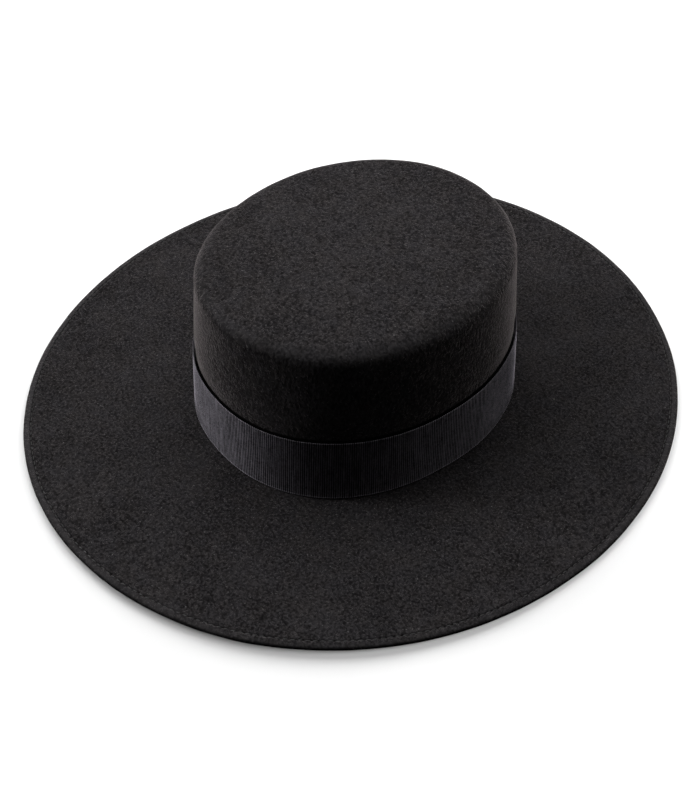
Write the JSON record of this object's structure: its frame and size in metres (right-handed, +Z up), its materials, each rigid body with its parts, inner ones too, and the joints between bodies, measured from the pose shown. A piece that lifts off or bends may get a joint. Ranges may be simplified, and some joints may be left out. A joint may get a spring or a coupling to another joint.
{
  "type": "gaucho hat",
  "caption": "Wide, flat-brimmed felt hat with a flat-topped oval crown, a stitched turned-under rim and a ribbed ribbon round the crown.",
  "frame": {"origin": "on the floor that the rim rests on, under the middle of the crown", "axes": "+Z up; -Y is the front of the hat, so Y runs along the longer axis of its oval; +X is the wearer's left"},
  "size_m": [0.3796, 0.414, 0.1135],
  "materials": {
    "felt": "matt black pressed felt with a short nap",
    "ribbon": "black ribbed ribbon with a low sheen"
  },
  "bodies": {
    "root": {"felt_body": "felt", "ribbon_band": "ribbon"}
  },
  "joints": []
}
